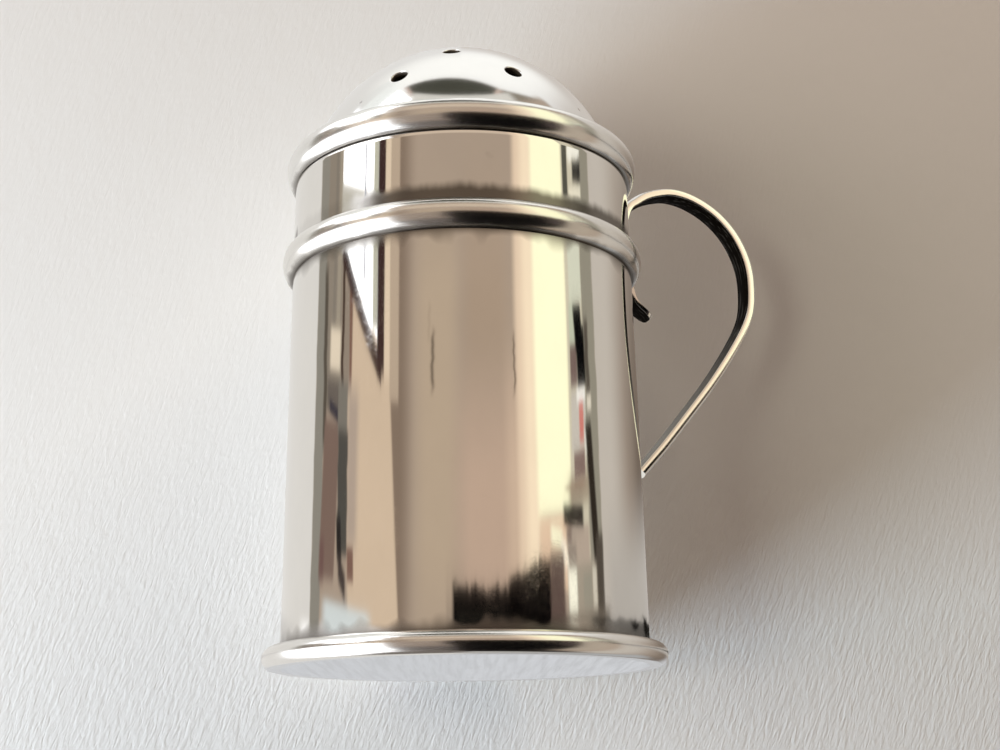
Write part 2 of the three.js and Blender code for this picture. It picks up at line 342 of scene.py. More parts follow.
# A crease: a groove with a bell-shaped section, which wanders a little and fades out at its ends
crease_wander = 0.55
crease_group, given, out = new_group(
    "crease",
    {"Azimuth": 0.0, "Centre": 0.0, "Half Length": 3.0, "Half Width": 0.12, "Depth": 0.02, "Film": 0.5,
     "Seed": 0.0},
    ["Height", "Mask"],
)
turn, height = turn_and_height(crease_group)
up = sum_of(crease_group, "SUBTRACT", height, given["Centre"])
wander_place = add(crease_group, "ShaderNodeCombineXYZ", {"X": given["Seed"], "Z": up}).outputs[0]
aside = sum_of(crease_group, "MULTIPLY", sum_of(crease_group, "SUBTRACT", turn, given["Azimuth"]),
               math.radians(base_radius / mm))
aside = shaken(crease_group, aside, noise(crease_group, wander_place, Scale=0.5), crease_wander)
across = sum_of(crease_group, "POWER", sum_of(crease_group, "DIVIDE", aside, given["Half Width"]), 2.0)
groove = sum_of(crease_group, "POWER", math.e, sum_of(crease_group, "MULTIPLY", across, -1.0))
along = sum_of(crease_group, "DIVIDE", sum_of(crease_group, "ABSOLUTE", up), given["Half Length"])
groove = sum_of(crease_group, "MULTIPLY", groove, fade(crease_group, along, 0.45, 1.0))
depth = sum_of(crease_group, "MULTIPLY", groove, given["Depth"])
crease_group.links.new(sum_of(crease_group, "MULTIPLY", depth, -1.0), out["Height"])
crease_group.links.new(sum_of(crease_group, "MULTIPLY", groove, given["Film"]), out["Mask"])


def crease(**values):
    """A short crease in the sheet with a dark film in it, as a detail for silver()."""
    def make_detail(tree):
        dent = use_group(tree, crease_group, **values)
        return dent["Height"], dent["Mask"]
    return make_detail


def distance_from(tree, spot):
    """The distance in mm from a spot given in mm."""
    feeds = {0: millimetres(tree), 1: spot}
    return add(tree, "ShaderNodeVectorMath", feeds, operation="DISTANCE").outputs["Value"]


def thumb_mark(azimuth, height, size, film):
    """A faint round smudge, (azimuth in degrees, height and size in mm), as a detail for silver()."""
    def make_detail(tree):
        turn = math.radians(azimuth)
        spot = (base_radius / mm * math.cos(turn), base_radius / mm * math.sin(turn), height)
        grain = noise(tree, millimetres(tree), 3.0, Scale=2.2)
        away = sum_of(tree, "MULTIPLY_ADD", grain, size, distance_from(tree, spot))
        return None, fade(tree, away, 0.4 * size, 1.5 * size, film, 0.0)
    return make_detail


girdle_low, girdle_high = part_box("girdle_wire")[0].z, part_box("girdle_wire")[1].z


def solder_shade(tree):
    """The broad brown shade above the girdle, left by the solder, which fades out on the far left."""
    turn, height = turn_and_height(tree)
    drips = noise(tree, millimetres(tree, (0.7, 0.7, 0.15)), 2.0)
    up = shaken(tree, sum_of(tree, "SUBTRACT", height, girdle_high / mm), drips, -0.9)
    shade = fade(tree, up, 0.7, 1.85, 0.86, 0.0)
    shade = sum_of(tree, "MULTIPLY", shade, sum_of(tree, "GREATER_THAN", height, girdle_low / mm))
    return None, sum_of(tree, "MULTIPLY", shade, fade(tree, turn, -148, -134, 0.15, 1.0))


wall_silver = silver(
    "wall_silver", wall_colour, joints=(foot_top, girdle_low), reach=1.25, strength=0.82,
    details=(
        solder_shade,
        crease(azimuth=-116.6, centre=26.5, half_length=3.7, half_width=0.17, depth=0.003, film=0.62),
        crease(azimuth=-117.6, centre=30.2, half_length=2.6, half_width=0.16, depth=0.0015, film=0.10,
               seed=2.0),
        crease(azimuth=-92.2, centre=26.3, half_length=3.7, half_width=0.12, depth=0.002, film=0.60,
               seed=7.0),
        thumb_mark(-98.9, 46.7, 0.9, 0.22),
        thumb_mark(-118.0, 44.0, 0.25, 0.30),
    ),
    roughness=0.042, cloud_spread=0.02, streak_depth=0.12, scratch_depth=0.35,
)
make_piece("body_tube", *turned(wall_profile, wall_heights, wall_turns, drift=planished),
           wall_silver, "pot", "body_wall", "body_silver")


# Foot rim: a moulding of drawn silver bent round the foot of the tube and soldered. Its underside is
# flat, level with the base, and it is rounded over its edge up to the wall.
foot_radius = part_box("foot_rim")[1].x
foot_flat = 1.05 * mm
foot_land = 0.55 * mm
foot_fillet_out, foot_fillet_up = 0.1 * mm, 0.07 * mm
foot_sink = 0.02 * mm
foot_turns = 288
foot_colour = (0.85, 0.83, 0.80)


def ellipse_arc(centre_r, centre_z, across_r, across_z, start, end, steps):
    """Points (centre_r + a cos v, centre_z + b sin v) of an ellipse between two angles in degrees."""
    angle = np.radians(np.linspace(start, end, steps))
    return np.stack([centre_r + across_r * np.cos(angle), centre_z + across_z * np.sin(angle)], axis=-1)


def bent(depth, phase):
    """A ring bent by hand: a function of turn and height that waves a little in radius."""
    return lambda turn, height: depth * (np.sin(2 * turn + phase) + 0.6 * np.sin(5 * turn - phase)
                                         + 0.4 * np.sin(13 * turn + 2 * phase))


foot_half = foot_top / 2
foot_proud = foot_radius - base_radius
foot_profile = np.concatenate([
    [[base_radius - foot_sink, 0.0]],
    ellipse_arc(base_radius + foot_flat, foot_half, foot_proud - foot_flat, foot_half, -90, 0, 14),
    ellipse_arc(base_radius + foot_land, foot_half, foot_proud - foot_land, foot_half, 0, 90, 16)[1:],
    [[base_radius + foot_fillet_out, foot_top], [base_radius - foot_sink, foot_top + foot_fillet_up]],
])
foot_silver = silver("foot_silver", foot_colour, joints=(foot_top + 0.05 * mm,), strength=0.75,
                     roughness=0.19, cloud_spread=0.05, streak_depth=0.8, scratch_depth=1.2)
make_piece("foot_moulding", *turned(*foot_profile.T, foot_turns, drift=bent(0.006 * mm, 0.7)),
           foot_silver, "pot", "foot_rim", "body_silver")


# Girdle: half-round silver wire, bent round the body below the mouth and soldered. Tarnish stays in
# the two corners beside it.
girdle_z = (girdle_low + girdle_high) / 2
girdle_half = (girdle_high - girdle_low) / 2
girdle_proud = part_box("girdle_wire")[1].x - wall_radius(girdle_z)
girdle_crest_rise = 0.11 * mm
girdle_sink = 0.1 * mm
girdle_turns = 288
girdle_colour = (0.86, 0.84, 0.80)


def half_round(centre_r, centre_z, proud, half, crest_rise):
    """Half-round wire with its crest a little above its middle: two quarter ellipses that meet there."""
    crest = centre_z + crest_rise
    return np.concatenate([
        ellipse_arc(centre_r, crest, proud, half + crest_rise, -90, 0, 18),
        ellipse_arc(centre_r, crest, proud, half - crest_rise, 0, 90, 18)[1:],
    ])


girdle_front = half_round(0, girdle_z, girdle_proud, girdle_half, girdle_crest_rise)
girdle_profile = np.concatenate([
    np.stack([wall_radius(girdle_front[:, 1]) + girdle_front[:, 0], girdle_front[:, 1]], axis=-1),
    [[wall_radius(height) - girdle_sink, height] for height in (girdle_high, girdle_low)],
])
girdle_silver = silver("girdle_silver", girdle_colour, joints=(girdle_low, girdle_high), reach=0.34,
                       roughness=0.19, cloud_spread=0.05, streak_depth=0.6, scratch_depth=0.8)
make_piece("girdle_band", *turned(*girdle_profile.T, girdle_turns, drift=bent(0.008 * mm, 2.1)),
           girdle_silver, "pot", "girdle_wire", "body_silver")


# Handle: one strap of half-round silver, hammered thin at its tail. It is soldered to the wall above
# the girdle and below the loop, and its tail passes over the girdle and is flicked out below it.
strap_half_width = 1.3 * mm
strap_edge = 0.74 * mm
strap_crown = 1.06 * mm
tail_edge = 0.42 * mm
tail_crown = 1.05 * tail_edge
tail_length = 4.5 * mm
tail_blend = 11.0 * mm
tip_length = 1.3 * mm
tip_width_share = 0.4
loop_reach = 15.15 * mm
loop_drop = 32.0 * mm
loop_top = mouth_z + 2.0 * mm
wall_stand = strap_edge + 0.07 * mm
girdle_notch = 0.24 * mm
shoulder_rise = 0.9 * mm
leaves_wall_down = 3.4 * mm
end_reach_share = 1.25
tuck_depth = 0.25 * mm
tuck_rim = 0.3 * mm
strap_steps = 460
knot_steps = 60
hammer_share = 0.03
strap_colour = (0.95, 0.94, 0.895)
# Black painted on the strap's inner faces as shade
painted_shade_black = (0.012, 0.010, 0.008)
# The painted shade's shares on the strap's flat side, at two heights in mm
shade_levels, shade_shares = (24, 38), (0.72, 1.0)

# Shares of the loop's reach from the mouth and of its drop from its top, along the strap's flat face
loop_shares = np.array([
    [0.102, 0.068], [0.158, 0.046], [0.234, 0.023], [0.341, 0.006], [0.434, 0.000], [0.572, 0.012],
    [0.737, 0.052], [0.863, 0.108], [0.943, 0.170], [0.990, 0.238], [1.000, 0.312], [0.986, 0.381],
    [0.952, 0.428], [0.856, 0.509], [0.671, 0.636], [0.440, 0.772], [0.260, 0.874], [0.187, 0.912],
])
# The tail's flat face from its tip in to the girdle's crest, in mm out from the crest and up from it
tail_places = np.array([
    [2.32, -3.42], [1.80, -3.02], [1.30, -2.62], [0.72, -2.12], [0.32, -1.35], [0, 0],
])
# The section's corners, as shares of the half width, of the edge's thickness and of the crown's rise
side_shares = [(0.965, 0.97, 0), (0.975, 0.9, 0), (1, 0.1, 0), (0.985, 0.03, 0)]
crown_shares = [(x, 1.0, 1 - x * x) for x in np.linspace(-0.94, 0.94, 15)]


def smooth_route(knots, steps):
    """A centripetal Catmull-Rom curve through the knots, at even distances along its length.

    Between two knots it blends the four nearest knots, spaced by the square root of their gaps."""
    knots = np.concatenate([[2 * knots[0] - knots[1]], knots, [2 * knots[-1] - knots[-2]]])
    gap = np.sqrt(np.linalg.norm(np.diff(knots, axis=0), axis=1))
    share = np.linspace(0, 1, knot_steps, endpoint=False)[None, :, None]
    p0, p1, p2, p3 = (knots[i:len(knots) - 3 + i, None, :] for i in range(4))
    t1 = gap[:-2, None, None]
    t2 = t1 + gap[1:-1, None, None]
    t3 = t2 + gap[2:, None, None]
    t = t1 + (t2 - t1) * share
    a1, a2 = (t1 - t) / t1 * p0 + t / t1 * p1, (t2 - t) / (t2 - t1) * p1 + (t - t1) / (t2 - t1) * p2
    a3 = (t3 - t) / (t3 - t2) * p2 + (t - t2) / (t3 - t2) * p3
    b1, b2 = (t2 - t) / t2 * a1 + t / t2 * a2, (t3 - t) / (t3 - t1) * a2 + (t - t1) / (t3 - t1) * a3
    curve = ((t2 - t) / (t2 - t1) * b1 + (t - t1) / (t2 - t1) * b2).reshape(-1, 2)
    curve = np.concatenate([curve, knots[-2:-1]])
    length = np.concatenate([[0], np.cumsum(np.linalg.norm(np.diff(curve, axis=0), axis=1))])
    even = np.linspace(0, length[-1], steps)
    return np.stack([np.interp(even, length, curve[:, axis]) for axis in (0, 1)], axis=-1), even


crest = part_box("girdle_wire")[1].x + girdle_notch
shoulder_z = girdle_high + shoulder_rise
leaves_wall_z = mouth_z - leaves_wall_down
loop_knots = np.stack([mouth_radius + loop_shares[:, 0] * loop_reach,
                       loop_top - loop_shares[:, 1] * loop_drop], axis=-1)
strap_knots = np.concatenate([
    np.array([crest, girdle_z]) + tail_places * mm,
    [[wall_radius(height) + wall_stand, height] for height in (shoulder_z, leaves_wall_z)],
    loop_knots,
    [loop_knots[-1] + end_reach_share * (loop_knots[-1] - loop_knots[-2])],
])
route, along = smooth_route(strap_knots, strap_steps)
heading = np.gradient(route, axis=0)
heading /= np.linalg.norm(heading, axis=1, keepdims=True)
lift_way = np.stack([-heading[:, 1], heading[:, 0]], axis=-1)


def strap_surface():
    """A half-round section carried along the route: flat below, two short sides, a crowned top.

    Each point of the section has a place across the width and a lift off the flat face. The lift is a
    parabola between the two sides, and the section narrows to a rounded tip at the tail."""
    thicken = np.clip((along - tail_length) / tail_blend, 0, 1)
    thicken = thicken * thicken * (3 - 2 * thicken)
    edge = tail_edge + (strap_edge - tail_edge) * thicken
    crown = tail_crown + (strap_crown - tail_crown) * thicken
    hammered = 1 + hammer_share * np.sin(along / mm * 1.9 + 0.6) * np.sin(along / mm * 0.83)
    rounding = np.sqrt(1 - (1 - np.clip(along / tip_length, 0, 1)) ** 2)
    half = strap_half_width * (tip_width_share + (1 - tip_width_share) * rounding)
    other_side = [(-x, up, swell) for x, up, swell in side_shares[::-1]]
    places = [(0.95, 0, 0), (-0.95, 0, 0), *other_side, *crown_shares, *side_shares]
    across, up, swell = np.array(places).T
    y = half[:, None] * across[None, :]
    lift = edge[:, None] * up[None, :] + ((crown - edge) * hammered)[:, None] * swell[None, :]
    x = route[:, None, 0] + lift_way[:, None, 0] * lift
    z = route[:, None, 1] + lift_way[:, None, 1] * lift
    spread = np.hypot(x, y)
    deepest = wall_radius(z) - tuck_depth
    inside = (spread < deepest) & (z < mouth_z + tuck_rim)
    tuck = np.where(inside, deepest / np.maximum(spread, mm), 1.0)
    points = np.stack([x * tuck, y * tuck, z], axis=-1)
    size = points.shape[1]
    step, corner = np.meshgrid(np.arange(strap_steps - 1) * size, np.arange(size), indexing="ij")
    beside = (corner + 1) % size
    faces = np.stack([step + corner, step + size + corner, step + size + beside, step + beside], axis=-1)
    faces = faces.reshape(-1, 4).tolist()
    last = (strap_steps - 1) * size
    faces += [list(range(size)), [last + k for k in reversed(range(size))]]
    # Where the painted shade lies: on the flat side, more of it higher up, and under the tail
    flat_side = (up < 0.02)[None, :] * np.interp(route[:, 1] / mm, shade_levels, shade_shares)[:, None]
    under_tail = (up > 0.98)[None, :] * (along < tail_length)[:, None]
    inner = np.where((along < tail_length)[:, None], under_tail, flat_side)
    return points.reshape(-1, 3), faces, inner.ravel()


def painted_shade_inner_face(tree):
    """Painted shade: black inside the loop and under the tail, for the shade that these faces reflect.

    The mesh's inner_face attribute is the painted shade's share, and noise drawn out along Z streaks it."""
    face = add(tree, "ShaderNodeAttribute", attribute_name="inner_face").outputs["Fac"]
    streak = noise(tree, millimetres(tree, (1.4, 3.2, 0.35)), 3.0)
    return None, sum_of(tree, "MULTIPLY", face, fade(tree, streak, 0.28, 0.5, 0.93, 1.0))


# The black on the strap's inner faces is painted shade.
strap_silver = silver("strap_silver", strap_colour, details=(painted_shade_inner_face,), film_and_shade_colour=painted_shade_black,
                      matt_film_and_shade=0.94, roughness=0.11, cloud_spread=0.05, streak_depth=0.5,
                      scratch_depth=1.2)
strap_points, strap_faces, strap_inner = strap_surface()
make_piece("strap_handle", strap_points, strap_faces, strap_silver, "pot", "handle_strap",
           "handle_silver", crease_degrees=30, shares={"inner_face": strap_inner})


# Lid dome: a cap raised from sheet silver and pierced from outside with one hole at its crown and
# three staggered rings of seven. The drill left each hole's lip slightly eased.
lid_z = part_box("lid_rim_wire")[0].z
bezel_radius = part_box("lid_bezel")[1].x
dome_lean = math.radians(5.6)
dome_radius = (bezel_radius - 0.15 * mm) / math.cos(dome_lean)
dome_centre_z = lid_z - dome_radius * math.sin(dome_lean)
dome_wall = 0.6 * mm
hole_radius = 0.9 * mm
holes_in_ring = 7
ring_angles = (19, 37.5, 55)
first_hole_turn = -110.5
# How far the drill strayed, in degrees off the crown and round it, at a ring and a hole in it
angle_drift = {(1, 0): 0.4, (2, 0): -1.1, (2, 6): 0.6, (0, 2): 0.5, (0, 5): -0.6, (1, 3): -0.5,
               (2, 3): 0.7}
turn_drift = {(1, 0): -2.3, (2, 0): 0.4, (2, 6): 1.8, (0, 1): 1.5, (0, 4): -1.8, (1, 4): 1.2,
              (2, 2): -1.0}
lip_radii = np.array([1.0, 1.05, 1.12, 1.24, 1.42]) * hole_radius
lip_depths = np.array([0.075, 0.028, 0.008, 0.0, 0.0]) * mm
lip_points = 44
dome_spacing = 0.42 * mm
dome_clear = 0.3 * mm
dome_ring_twist = 0.37
dome_edge_points = 288
tiny = 1e-9
dome_colour = (0.88, 0.87, 0.85)


def ways(angle, turn):
    """Unit vectors (sin a cos t, sin a sin t, cos a) at angles a from the crown and turns t round it."""
    return np.stack([np.sin(angle) * np.cos(turn), np.sin(angle) * np.sin(turn),
                     np.cos(angle) + 0 * turn], axis=-1)


def hole_directions():
    """Unit vectors through the holes: one up, then each ring turned half a step from the last."""
    angles, turns = [0.0], [0.0]
    step = 360 / holes_in_ring
    for ring, angle in enumerate(ring_angles):
        for hole in range(holes_in_ring):
            turn = first_hole_turn + step * (hole + abs(ring - 1) / 2)
            angles.append(angle + angle_drift.get((ring, hole), 0))
            turns.append(turn + turn_drift.get((ring, hole), 0))
    return ways(np.radians(angles), np.radians(turns))


def dome_surface():
    """Points on a sphere's cap, joined flat by Delaunay in a map that keeps angle from the crown.

    Round each hole lie rings of points at set distances from the hole's line, sunk by the lip's depth.
    The inner skin repeats the same joins on a smaller sphere, and the holes' and the edge's walls
    bridge the two."""
    holes = hole_directions()
    helper = np.where(np.abs(holes[:, 2:]) > 0.9, [[1.0, 0, 0]], [[0, 0, 1.0]])
    side = np.cross(helper, holes)
    side /= np.linalg.norm(side, axis=1, keepdims=True)
    other = np.cross(holes, side)
    spin = np.linspace(0, 2 * np.pi, lip_points, endpoint=False)[None, :, None]
    ring = side[:, None, :] * np.cos(spin) + other[:, None, :] * np.sin(spin)

    def lip(skin_radius, depths):
        reach = np.sqrt(skin_radius ** 2 - lip_radii ** 2) - depths
        return (holes[:, None, None, :] * reach[None, :, None, None]
                + ring[:, None, :, :] * lip_radii[None, :, None, None])

    inner_radius = dome_radius - dome_wall
    outer_lip, inner_lip = lip(dome_radius, lip_depths), lip(inner_radius, 0 * lip_depths)
    edge_angle = math.pi / 2 - dome_lean
    inner_edge = math.acos((lid_z - dome_centre_z) / inner_radius)
    rings = int(edge_angle * dome_radius / dome_spacing)
    fill = []
    for k in range(1, rings):
        angle = edge_angle * k / rings
        count = max(6, int(2 * math.pi * math.sin(angle) * dome_radius / dome_spacing))
        fill.append(ways(angle, np.linspace(0, 2 * np.pi, count, endpoint=False) + dome_ring_twist * k))
    fill = np.concatenate(fill)
    nearest = np.linalg.norm(np.cross(fill[:, None, :], holes[None, :, :]), axis=2).min(axis=1)
    fill = fill[nearest * dome_radius > lip_radii[-1] + dome_clear]
    turn = np.linspace(0, 2 * np.pi, dome_edge_points, endpoint=False)
    outer = np.concatenate([outer_lip.reshape(-1, 3), fill * dome_radius,
                            ways(edge_angle, turn) * dome_radius])
    inner = np.concatenate([inner_lip.reshape(-1, 3), fill * inner_radius,
                            ways(inner_edge, turn) * inner_radius])
    way = outer / np.linalg.norm(outer, axis=1, keepdims=True)
    angle = np.arccos(np.clip(way[:, 2], -1, 1))[:, None]
    flat = way[:, :2] / np.maximum(np.linalg.norm(way[:, :2], axis=1, keepdims=True), tiny) * angle
    joined = delaunay_2d_cdt([Vector(p) for p in flat.tolist()], [], [], 0, tiny)
    faces = np.array([face for face in joined[2] if len(face) == 3])
    source = np.array([group[0] for group in joined[3]])
    faces = source[faces]
    per_hole = len(lip_radii) * lip_points
    hole_of = np.where(faces < len(holes) * per_hole, faces // per_hole, -1)
    innermost = (hole_of >= 0) & (faces % per_hole < lip_points)
    in_hole = innermost.all(axis=1) & (hole_of[:, 0] == hole_of[:, 1]) & (hole_of[:, 1] == hole_of[:, 2])
    faces = faces[~in_hole]
    p, q, r = (outer[faces[:, k]] for k in range(3))
    turned_in = (np.cross(q - p, r - p) * (p + q + r)).sum(axis=1) < 0
    faces[turned_in] = faces[turned_in][:, ::-1]
    total = len(outer)
    start = (np.arange(len(holes)) * per_hole)[:, None]
    here = start + np.arange(lip_points)[None, :]
    beside = start + np.roll(np.arange(lip_points), -1)[None, :]
    walls = np.stack([here, beside, beside + total, here + total], axis=-1)
    first_edge = total - dome_edge_points
    here = np.arange(first_edge, total)
    beside = np.roll(here, -1)
    skirt = np.stack([beside, here, here + total, beside + total], axis=-1)
    points = np.concatenate([outer, inner]) + np.array([0, 0, dome_centre_z])
    every = faces.tolist() + (faces[:, ::-1] + total).tolist()
    every += walls.reshape(-1, 4).tolist() + skirt.tolist()
    normals = np.concatenate([way, -inner / np.linalg.norm(inner, axis=1, keepdims=True)])
    eased = np.arange(len(holes) * per_hole) % per_hole < 3 * lip_points
    normals[:len(eased)][eased] = 0
    normals[total:total + len(eased)][eased] = 0
    normals[first_edge:total] = 0
    normals[-dome_edge_points:] = 0
    return points, every, normals


dome_points, dome_faces, dome_normals = dome_surface()


def pits(tree):
    """Tiny dark pits left from cleaning, as a detail for silver()."""
    feeds = {"Vector": millimetres(tree, (0.32, 0.32, 0.32)), "Scale": 1.0}
    pit = fade(tree, add(tree, "ShaderNodeTexVoronoi", feeds).outputs["Distance"], 0.0, 0.085)
    return sum_of(tree, "MULTIPLY", pit, -0.012), sum_of(tree, "MULTIPLY", pit, 0.75)


def painted_shade_inside(tree):
    """Painted shade, black, inside the dome and on the holes' walls: all that lies under the outer skin.
    """
    away = distance_from(tree, (0, 0, dome_centre_z / mm))
    under = sum_of(tree, "SUBTRACT", dome_radius / mm, away)
    return None, fade(tree, under, 0.06, 0.16, 0.0, 0.97)


# The black inside the dome is painted shade.
dome_silver = silver("dome_silver", dome_colour, joints=(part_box("lid_rim_wire")[1].z,), reach=0.3,
                     strength=0.6, details=(pits, painted_shade_inside), matt_film_and_shade=0.94, roughness=0.11,
                     cloud_spread=0.04, streak_depth=0.2, scratch_depth=1.2)
make_piece("pierced_dome", dome_points, dome_faces, dome_silver, "lid", "lid_dome", "lid_silver",
           crease_degrees=60, normals=dome_normals)


# Lid wire: half-round silver wire soldered round the foot of the dome. It rests over the body's mouth.
lid_wire_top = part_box("lid_rim_wire")[1].z
lid_wire_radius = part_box("lid_rim_wire")[1].x
lid_wire_low = mouth_z + 0.07 * mm
lid_wire_crest_rise = 0.2 * mm
lid_wire_seat_steps = 8
lid_wire_sink = 0.05 * mm
lid_wire_turns = 288
lid_wire_colour = (0.87, 0.855, 0.825)

lid_wire_front = half_round(mouth_radius, (lid_wire_low + lid_wire_top) / 2,
                            lid_wire_radius - mouth_radius, (lid_wire_top - lid_wire_low) / 2,
                            lid_wire_crest_rise)
lid_wire_seat = np.linspace(lid_wire_top, lid_z, lid_wire_seat_steps)
lid_wire_back = np.sqrt((dome_radius - lid_wire_sink) ** 2 - (lid_wire_seat - dome_centre_z) ** 2)
lid_wire_profile = np.concatenate([lid_wire_front, np.stack([lid_wire_back, lid_wire_seat], axis=-1)])
lid_wire_silver = silver("lid_wire_silver", lid_wire_colour, joints=(lid_wire_low, lid_wire_top),
                         reach=0.28, strength=0.7, roughness=0.19, cloud_spread=0.05, streak_depth=0.8,
                         scratch_depth=0.8)
make_piece("lid_band", *turned(*lid_wire_profile.T, lid_wire_turns, drift=bent(0.006 * mm, 4.2)),
           lid_wire_silver, "lid", "lid_rim_wire", "lid_silver")


# Bezel: a straight band of drawn silver soldered under the dome, which plugs the body's mouth. It is
# less polished than the rest, and rubbed where it slides.
bezel_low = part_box("lid_bezel")[0].z
bezel_wall = 0.5 * mm
bezel_lead = 0.2 * mm
bezel_edge = 0.05 * mm
bezel_rows = 26
bezel_turns = 256
bezel_colour = (0.80, 0.78, 0.74)

bezel_inside = bezel_radius - bezel_wall
bezel_side = np.linspace(bezel_low + bezel_lead, lid_z, bezel_rows)
bezel_profile = np.concatenate([
    [[bezel_inside, bezel_low + bezel_edge], [bezel_inside + bezel_edge, bezel_low],
     [bezel_radius - bezel_lead, bezel_low], [bezel_radius - bezel_edge, bezel_low + bezel_lead / 2]],
    np.stack([np.full(bezel_rows, bezel_radius), bezel_side], axis=-1),
    [[bezel_inside, lid_z]],
])
bezel_silver = silver("bezel_silver", bezel_colour, joints=(lid_z,), reach=0.6, strength=0.6,
                      roughness=0.17, cloud_spread=0.10, streak_depth=2.5, scratch_depth=2.0)
make_piece("plug_bezel", *turned(*bezel_profile.T, bezel_turns, drift=bent(0.004 * mm, 1.3)),
           bezel_silver, "lid", "lid_bezel", "bezel_silver")


# Camera: below the foot and in front of the pot, looking up along it. Its turn about the pot's axis is
# the angle by which the handle stands behind the right-hand edge.
camera_distance = 156.26 * mm
camera_height = -10.79 * mm
camera_pan, camera_tilt, camera_roll = -0.024, 0.253, -0.014
camera_lens = 56.79
sensor_width = 36.0

to_front = Matrix.Rotation(math.radians(front_turn), 4, "Z")
level_right = Vector((math.cos(camera_pan), math.sin(camera_pan), 0))
level_ahead = Vector((-math.sin(camera_pan), math.cos(camera_pan), 0))
upright = Vector((0, 0, 1))
ahead = math.cos(camera_tilt) * level_ahead + math.sin(camera_tilt) * upright
above = math.cos(camera_tilt) * upright - math.sin(camera_tilt) * level_ahead
right = math.cos(camera_roll) * level_right + math.sin(camera_roll) * above
above = math.cos(camera_roll) * above - math.sin(camera_roll) * level_right
turn_matrix = Matrix((right, above, -ahead)).transposed().to_4x4()
camera_place = Matrix.Translation((0, -camera_distance, camera_height))

camera_data = bpy.data.cameras.new("camera")
camera_data.lens = camera_lens
camera_data.sensor_width = sensor_width
camera_data.sensor_fit = "HORIZONTAL"
camera_data.clip_start = 5 * mm
camera_data.clip_end = 20
camera = bpy.data.objects.new("camera", camera_data)
camera.matrix_world = to_front @ camera_place @ turn_matrix
bpy.context.scene.collection.objects.link(camera)
bpy.context.scene.camera = camera


# Paper: a pale sheet that the pot lies against. Behind the pot it is cut away, where only the pot's
# back would face it, and seen from its own back it is clear, so that it hides nothing.
paper_touch = 19.75 * mm
paper_lean = 0.0304
paper_left, paper_right = -95 * mm, 307 * mm
paper_low, paper_high = -160 * mm, 200 * mm
cut_half_width = 16.5 * mm
cut_low, cut_high = 1.5 * mm, 62 * mm
paper_colour = (0.86, 0.855, 0.85)
paper_mottle = 0.96
fibre_lean = -22
fibre_height = 0.085 * mm


def one_sided(tree, shader):
    """Sends a shader to the material's output on its front, and clear on its back."""
    clear = add(tree, "ShaderNodeBsdfTransparent").outputs[0]
    behind = add(tree, "ShaderNodeNewGeometry").outputs["Backfacing"]
    either = add(tree, "ShaderNodeMixShader", {0: behind, 1: shader, 2: clear}).outputs[0]
    tree.links.new(either, tree.nodes["Material Output"].inputs["Surface"])


def paper_material():
    """Laid paper: pale, matt, with short raised fibres that lean to one side."""
    material, tree, shader = new_material("pale_paper")
    shader.inputs["Roughness"].default_value = 0.9
    shader.inputs["Specular IOR Level"].default_value = 0.0
    place = millimetres(tree)
    leaning = millimetres(tree, (2.7, 0.7, 0.64), (0, fibre_lean, -front_turn))
    up_sheet = add(tree, "ShaderNodeSeparateXYZ", {"Vector": place}).outputs["Z"]
    fibre = sum_of(tree, "MULTIPLY", noise(tree, leaning, 2.0, Distortion=0.5),
                   fade(tree, up_sheet, -5, 40, 1.0, 0.3))
    fibre = sum_of(tree, "MULTIPLY_ADD", noise(tree, place, 2.0, Scale=0.26), 0.3, fibre)
    shade = [channel * paper_mottle for channel in paper_colour]
    colour = mixed(tree, noise(tree, place, 3.0, Scale=0.04), (*shade, 1), (*paper_colour, 1))
    tree.links.new(colour, shader.inputs["Base Color"])
    bump = add(tree, "ShaderNodeBump", {"Height": fibre, "Strength": 1.0, "Distance": fibre_height})
    tree.links.new(bump.outputs[0], shader.inputs["Normal"])
    one_sided(tree, shader.outputs[0])
    return material


def lay_sheet(name, points, faces, material):
    """A flat backdrop that shows in no reflection."""
    mesh = bpy.data.meshes.new(name)
    mesh.from_pydata(points, [], faces)
    mesh.materials.append(material)
    sheet = bpy.data.objects.new(name, mesh)
    sheet.visible_glossy = False
    bpy.context.scene.collection.objects.link(sheet)
    return sheet


columns = (paper_left, -cut_half_width, cut_half_width, paper_right)
levels = (paper_low, cut_low, cut_high, paper_high)
sheet_points = [to_front @ Vector((x, paper_touch - paper_lean * z, z)) for z in levels for x in columns]
cells = [4 * row + column for row in range(3) for column in range(3) if (row, column) != (1, 1)]
sheet_faces = [(cell, cell + 1, cell + 5, cell + 4) for cell in cells]
paper = lay_sheet("paper", sheet_points, sheet_faces, paper_material())
paper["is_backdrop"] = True


# Floor: a pale board that the pot stands on, seen only from above. It takes the pot's shadow and shows
# in no reflection, because the silver's surroundings are in the world.
floor_reach = 1.0
floor_z = -0.05 * mm
floor_colour = (0.84, 0.835, 0.83)

board, tree, shader = new_material("pale_board")
shader.inputs["Base Color"].default_value = (*floor_colour, 1)
shader.inputs["Roughness"].default_value = 0.85
one_sided(tree, shader.outputs[0])

corners = [(x * floor_reach, y * floor_reach, floor_z) for x, y in ((-1, -1), (1, -1), (1, 1), (-1, 1))]
floor = lay_sheet("floor", corners, [(0, 1, 2, 3)], board)
floor.visible_diffuse = False
floor.visible_shadow = False
floor.visible_transmission = False
floor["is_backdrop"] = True


# Light: soft square lamps, a cool one low on the left that rakes the paper, two weaker ones beside and
# above it, and a warm one high on the right. What the polished silver shows is a set of soft-edged
# panels hung round the pot, which only glossy rays meet.
lamp_aim = Vector((5 * mm, 19.5 * mm, 25 * mm))
lamp_distance = 400 * mm
lamp_size = 200 * mm
lamp_power = 4.0
